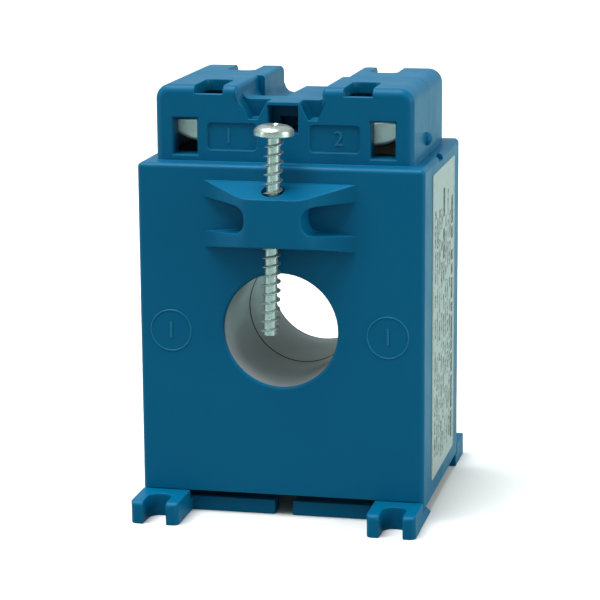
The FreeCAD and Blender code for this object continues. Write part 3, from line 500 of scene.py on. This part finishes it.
# %% [markdown]
# ## The screw's head
#
# The head is a pan shape with a pressed cross. Its outline is turned round the axis, flat below, with a
# short rim and a domed top. The cross could be modelled face by face, but a boolean cut is closer to how a
# punch makes it: one shape taken out of another. The cutter is two bars that get smaller downwards.

# %% Pan shape of the head
HEAD_RADIUS = 4.1 * MM
HEAD_RIM = 0.75 * MM
HEAD_EDGE = 0.15 * MM
HEAD_STEPS = 64
DOME_STEPS = 12
DOME_TOP = 0.38


def pan_outline():
    """Radius and height along the head. The dome is a quarter of an ellipse round a flat middle."""
    outline = [(0, 0), (HEAD_RADIUS - HEAD_EDGE, 0), (HEAD_RADIUS, HEAD_EDGE), (HEAD_RADIUS, HEAD_RIM)]
    for step in range(1, DOME_STEPS + 1):
        angle = step / DOME_STEPS * math.pi / 2
        outline.append((HEAD_RADIUS * (DOME_TOP + (1 - DOME_TOP) * math.cos(angle)),
                        HEAD_RIM + (HEAD_HEIGHT - HEAD_RIM) * math.sin(angle)))
    return outline + [(0, HEAD_HEIGHT)]


def turned(outline):
    """A closed round body, turned from its outline of radius and height."""
    mesh = bmesh.new()
    bmesh.ops.spin(mesh, geom=drawn(mesh, outline), cent=(0, 0, 0), axis=(0, 0, 1), angle=math.tau,
                   steps=HEAD_STEPS, use_merge=True)
    bmesh.ops.remove_doubles(mesh, verts=mesh.verts, dist=WELD)
    bmesh.ops.recalc_face_normals(mesh, faces=mesh.faces)
    return mesh


head = add_piece("fixing_screw_head", stand(turned(pan_outline()), screw_length), "fixing_screw",
                 zinc)
print("head in mm:", round(2 * HEAD_RADIUS / MM, 1), "wide,", round(HEAD_HEIGHT / MM, 1), "high")

# %% Cross of the head
CROSS_LENGTH = 4.6 * MM
CROSS_WIDTH = 1.0 * MM
CROSS_DEPTH = 1.4 * MM
CROSS_TAPER = 0.45
CUTTER_RISE = 0.3 * MM


def cross_cutter():
    """A cross that is wider at the top than at the bottom."""
    mesh = bmesh.new()
    for turn in (0, math.pi / 2):
        bar = bmesh.ops.create_cube(mesh, size=1)["verts"]
        for vertex in bar:
            top = vertex.co.z > 0
            taper = 1.0 if top else CROSS_TAPER
            vertex.co = Vector((vertex.co.x * CROSS_LENGTH * taper,
                                vertex.co.y * CROSS_WIDTH * (0.5 + taper / 2),
                                HEAD_HEIGHT + CUTTER_RISE if top else HEAD_HEIGHT - CROSS_DEPTH))
        bmesh.ops.rotate(mesh, verts=bar, cent=(0, 0, 0), matrix=Matrix.Rotation(turn, 3, "Z"))
    return mesh


def plain_mesh(made):
    """The mesh of an object with its modifiers carried out, or of a text."""
    return bpy.data.meshes.new_from_object(made.evaluated_get(bpy.context.evaluated_depsgraph_get()))


def cut_out(piece, cutter):
    """Takes the cutter's shape out of a piece and leaves a plain mesh."""
    cut = piece.modifiers.new("cut", "BOOLEAN")
    cut.operation = "DIFFERENCE"
    cut.solver = "EXACT"
    cut.use_self = True
    cut.object = cutter
    result = plain_mesh(piece)
    piece.modifiers.clear()
    piece.data = result
    bpy.data.objects.remove(cutter)


cut_out(head, object_from("cutter", stand(cross_cutter(), screw_length)))
for piece in (head, shank):
    piece.data.set_sharp_from_angle(angle=SHARP)
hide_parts("fixing_screw")
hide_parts("fixing_screw")
print("faces of the head:", len(head.data.polygons))

# %% [markdown]
# ## Raised marks
#
# Terminals and window sides carry raised marks from the mould. Here they are plain numbers and rings, less
# than two tenths of a millimetre high. A bump pattern could bend the light in their shape, but a real step
# also shows at a grazing angle. A text becomes a mesh first, and only then moves to its place.

# %% A raised number
MARK_HEIGHT = 0.16 * MM


def face_front(mesh, middle):
    """Tips a mesh that lies flat up to the front, then moves it."""
    upwards = Matrix.Rotation(math.pi / 2, 3, "X")
    bmesh.ops.rotate(mesh, verts=mesh.verts, cent=(0, 0, 0), matrix=upwards)
    bmesh.ops.translate(mesh, verts=mesh.verts, vec=middle)


def raised_number(name, text, size, middle):
    """A plain number that stands out of a face that looks to the front."""
    curve = bpy.data.curves.new(name, "FONT")
    curve.body = text
    curve.size = size
    curve.align_x = "CENTER"
    curve.align_y = "CENTER"
    curve.extrude = MARK_HEIGHT
    holder = bpy.data.objects.new(name, curve)
    bpy.context.scene.collection.objects.link(holder)
    data = plain_mesh(holder)
    bpy.data.objects.remove(holder)
    mesh = bmesh.new()
    mesh.from_mesh(data)
    face_front(mesh, middle)
    add_piece(name, mesh, "housing", mark_plastic_painted_lighter, smooth=False)

# %% A raised ring
BEAD = 0.15 * MM
BEAD_SIDES = 8
RING_STEPS = 72


def raised_ring(name, radius, middle, wall=BEAD, material=mark_plastic_painted_lighter):
    """A thin round bead that lies on a face that looks to the front."""
    mesh = bmesh.new()
    bmesh.ops.create_circle(mesh, segments=BEAD_SIDES, radius=wall)
    face_front(mesh, (radius, 0, 0))
    bmesh.ops.spin(mesh, geom=mesh.verts[:] + mesh.edges[:], cent=(0, 0, 0), axis=(0, 0, 1),
                   angle=math.tau, steps=RING_STEPS, use_merge=True)
    bmesh.ops.remove_doubles(mesh, verts=mesh.verts, dist=WELD)
    bmesh.ops.recalc_face_normals(mesh, faces=mesh.faces)
    face_front(mesh, middle)
    add_piece(name, mesh, "housing", material)

# %% Marks in place
FACE = -23 * MM
RECESS = -18.7 * MM
RING_RADIUS = 4.3 * MM
WINDOW_NUMBER = 5 * MM
TERMINAL_NUMBER = 4.4 * MM
WINDOW_MARKS = {"left": (-23.3 * MM, FACE, 39.2 * MM), "right": (22.5 * MM, FACE, 39.5 * MM)}
TERMINAL_MARKS = {"left": ("1", (-11.5 * MM, RECESS, 79.5 * MM)),
                  "right": ("2", (11.5 * MM, RECESS, 79.5 * MM))}

for side, middle in WINDOW_MARKS.items():
    raised_ring(f"ring_{side}", RING_RADIUS, middle)
for side, middle in WINDOW_MARKS.items():
    raised_number(f"number_{side}", "1", WINDOW_NUMBER, middle)
for side, (text, middle) in TERMINAL_MARKS.items():
    raised_number(f"terminal_number_{side}", text, TERMINAL_NUMBER, middle)
print("raised marks:", 2 * len(WINDOW_MARKS) + len(TERMINAL_MARKS))

# %% [markdown]
# ## The seam in the window
#
# The grey sleeve comes in two halves, and the thin shadow where they meet runs right round the window. The
# gap is narrower than a pixel, so no light would ever draw it. A fine dark bead, made like the rings, stands
# for the shadow. The window's radius is read off the sleeve's own solid.

# %% Seam in the window
SEAM_BEAD = 0.13 * MM
SEAM_SET_BACK = 0.03 * MM

seam_grey = moulded_plastic("dark_seam_shadow", ("2E3639", "2A3134"), 0.6, 0.2)
sleeve_low, sleeve_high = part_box("bore_sleeve_front")
axis_x, axis_z = (sleeve_low.x + sleeve_high.x) / 2, (sleeve_low.z + sleeve_high.z) / 2
bore_radius = min(math.hypot(vertex.co.x - axis_x, vertex.co.z - axis_z)
                  for vertex in nodes["bore_sleeve_front"].data.vertices)
raised_ring("sleeve_seam", bore_radius + SEAM_SET_BACK, (axis_x, sleeve_high.y, axis_z),
            wall=SEAM_BEAD, material=seam_grey)
print("window radius in mm:", round(bore_radius / MM, 2))

# %% [markdown]
# ## Print on the label
#
# The label reads from bottom to top, as it does when the transformer lies on its side. Two long dark lines
# run close to its edges in the ink's colour: they are painted shadow of the label's edges. Its print is rows
# of small bars of uneven length, like words, with a bold first row and a bold stretch in the middle row. The
# lengths are drawn at random from a fixed seed, so every run prints the same label.
# Each bar is a very thin plate that stands on the foil, so the two never fight for the same pixel.

# %% Places on the label
MARGIN = 2.2 * MM
EDGE_SHADOW_INSET = 0.9 * MM
EDGE_SHADOW_WIDTH = 0.28 * MM
PRINT_HEIGHT = 0.015 * MM
ROWS = 9

label_low, label_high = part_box("rating_label")
label_length = label_high.z - label_low.z
label_width = label_high.y - label_low.y
row_gap = (label_width - 2 * MARGIN) / ROWS
fine_print_and_edge_shadow, bold_print = bmesh.new(), bmesh.new()


def print_bar(mesh, along, across, length, height):
    """One bar of ink: along runs up the label, across runs from its rear edge to its front edge."""
    bar = bmesh.ops.create_cube(mesh, size=1)["verts"]
    bmesh.ops.scale(mesh, verts=bar, vec=(PRINT_HEIGHT, height, length))
    bmesh.ops.translate(mesh, verts=bar, vec=(label_high.x + PRINT_HEIGHT / 2,
                                              label_high.y - across, label_low.z + along + length / 2))


# The two long lines are painted shadow along the label's edges, drawn as bars of ink.
for across in (EDGE_SHADOW_INSET, label_width - EDGE_SHADOW_INSET):
    print_bar(fine_print_and_edge_shadow, EDGE_SHADOW_INSET, across, label_length - 2 * EDGE_SHADOW_INSET, EDGE_SHADOW_WIDTH)
print("label in mm:", round(label_width / MM, 1), "by", round(label_length / MM, 1))

# %% Rows of words
BOLD_ROWS = {0: (0.0, 0.94), 4: (0.62, 0.9)}
NOWHERE = (2, 2)
RAGGED_START = (0, 3)
RAGGED_END = (1, 7)
WORD_LENGTHS = (1.8, 8.5)
WORD_GAPS = (0.7, 0.9, 2.6)
ROOM_FOR_WORD = 2 * MM
BOLD_HEIGHT = 0.75
FINE_HEIGHTS = (0.4, 0.7)
random.seed(7)

for row in range(ROWS):
    across = MARGIN + (row + 0.5) * row_gap
    bold_from, bold_to = BOLD_ROWS.get(row, NOWHERE)
    end = label_length - MARGIN - random.uniform(*RAGGED_END) * MM
    along = MARGIN + random.uniform(*RAGGED_START) * MM
    while along < end - ROOM_FOR_WORD:
        length = min(random.uniform(*WORD_LENGTHS) * MM, end - along)
        bold = bold_from < along / label_length < bold_to
        height = row_gap * (BOLD_HEIGHT if bold else random.uniform(*FINE_HEIGHTS))
        print_bar(bold_print if bold else fine_print_and_edge_shadow, along, across, length, height)
        along += length + random.choice(WORD_GAPS) * MM
label_print_and_edge_shadow = add_piece("label_print_and_edge_shadow", fine_print_and_edge_shadow, "housing", ink, smooth=False)
label_bold = add_piece("label_bold_print", bold_print, "housing", bold_ink, smooth=False)
print("bars of print:", (len(label_print_and_edge_shadow.data.polygons) + len(label_bold.data.polygons)) // 6)

# %% [markdown]
# ## Light
#
# The transformer stands in a white studio. A wide soft light shines down, a little from the left and the
# front, and does most of the work: its large angle is what makes the shadow's edge soft. A narrow strip on
# the left and a broad panel on the right add little light, but metal and rounded edges mirror them.

# %% Lights
MIDDLE = Vector((0, 0, 0.045))
WIDE_PLACE = (-0.25, -0.15, 1.0)
STRIP_PLACE = (-0.75, -0.45, 0.25)
PANEL_PLACE = (0.85, -0.15, 0.3)
WIDE_ANGLE = math.radians(50)


def add_light(name, kind, place, **settings):
    """A lamp at a place in metres that shines at the middle of the object."""
    light = bpy.data.objects.new(name, bpy.data.lights.new(name, kind))
    for key, value in settings.items():
        setattr(light.data, key, value)
    light.location = place
    light.rotation_mode = "QUATERNION"
    light.rotation_quaternion = (MIDDLE - Vector(place)).to_track_quat("-Z", "Y")
    bpy.context.scene.collection.objects.link(light)


add_light("wide_light", "SUN", WIDE_PLACE, energy=4.6, angle=WIDE_ANGLE)
add_light("left_strip", "AREA", STRIP_PLACE, shape="RECTANGLE", size=0.15, size_y=0.6, energy=1.6)
add_light("right_panel", "AREA", PANEL_PLACE, shape="RECTANGLE", size=0.4, size_y=0.6, energy=5)
print("lamps:", len(bpy.data.lights))

# %% [markdown]
# ## Table
#
# The table is white to the camera, as in the photograph. A table as white as that would also throw so much
# light up that the lower faces lose their shadows, and the front would mirror it as a grey veil. So the
# table's colour depends on the ray that meets it: near white for the camera, a cool grey for mirrored rays
# and a middle grey for the light that it throws back. Only the stage does this, never a piece of the object.

# %% Table
TABLE_SEEN = "E4E4E4"
TABLE_MIRRORED = "A2C0BC"
TABLE_THROWN = "7E7E7E"
TABLE_REACH = 6

sheet = bmesh.new()
bmesh.ops.create_grid(sheet, x_segments=1, y_segments=1, size=TABLE_REACH)
table = object_from("table", sheet)
white, tree, surface = new_material("white_table", Roughness=0.9, Specular_IOR_Level=0.0)
ray = add(tree, "ShaderNodeLightPath").outputs
thrown = add(tree, "ShaderNodeMix", {"Factor": ray["Is Glossy Ray"], "A": linear(TABLE_THROWN),
                                     "B": linear(TABLE_MIRRORED)}, data_type="RGBA")
paper = add(tree, "ShaderNodeMix", {"Factor": ray["Is Camera Ray"], "A": thrown.outputs["Result"],
                                    "B": linear(TABLE_SEEN)}, data_type="RGBA")
feed(tree, surface, {"Base Color": paper.outputs["Result"]})
finish_with(table, white)
print("stage:", table.name)

# %% [markdown]
# ## Air of the studio
#
# The world stands for the walls of the studio, in a white with a touch of cyan. They are bright behind the
# object, a little more so near the table, and dim on the camera's side, because the front face mirrors what
# lies there and would lose its deep blue.

# %% World
AIR = "E6FBF7"
FRONT_AIR = 0.38
LOW_AIR = 0.8
HIGH_AIR = 0.6
FRONT_TO_BACK = (-0.25, 0.45)
LOW_TO_HIGH = (-0.05, 0.2)

world = bpy.data.worlds.new("studio")
world.use_nodes = True
bpy.context.scene.world = world
tree = world.node_tree
tree.nodes.clear()
direction = add(tree, "ShaderNodeTexCoord").outputs["Generated"]
axes = add(tree, "ShaderNodeSeparateXYZ", {"Vector": direction}).outputs
behind = add(tree, "ShaderNodeMapRange", {"Value": axes["Y"], "From Min": FRONT_TO_BACK[0],
                                          "From Max": FRONT_TO_BACK[1]})
back_air = add(tree, "ShaderNodeMapRange", {"Value": axes["Z"], "From Min": LOW_TO_HIGH[0],
                                            "From Max": LOW_TO_HIGH[1], "To Min": LOW_AIR,
                                            "To Max": HIGH_AIR})
bright = add(tree, "ShaderNodeMix", {"Factor": behind.outputs["Result"], "A": FRONT_AIR,
                                     "B": back_air.outputs["Result"]}, data_type="FLOAT")
air = add(tree, "ShaderNodeBackground", {"Color": linear(AIR), "Strength": bright.outputs["Result"]})
add(tree, "ShaderNodeOutputWorld", {"Surface": air.outputs["Background"]})
# The standard view keeps a colour that was picked from a picture as it is.
bpy.context.scene.view_settings.view_transform = "Standard"
print("world nodes:", len(tree.nodes))
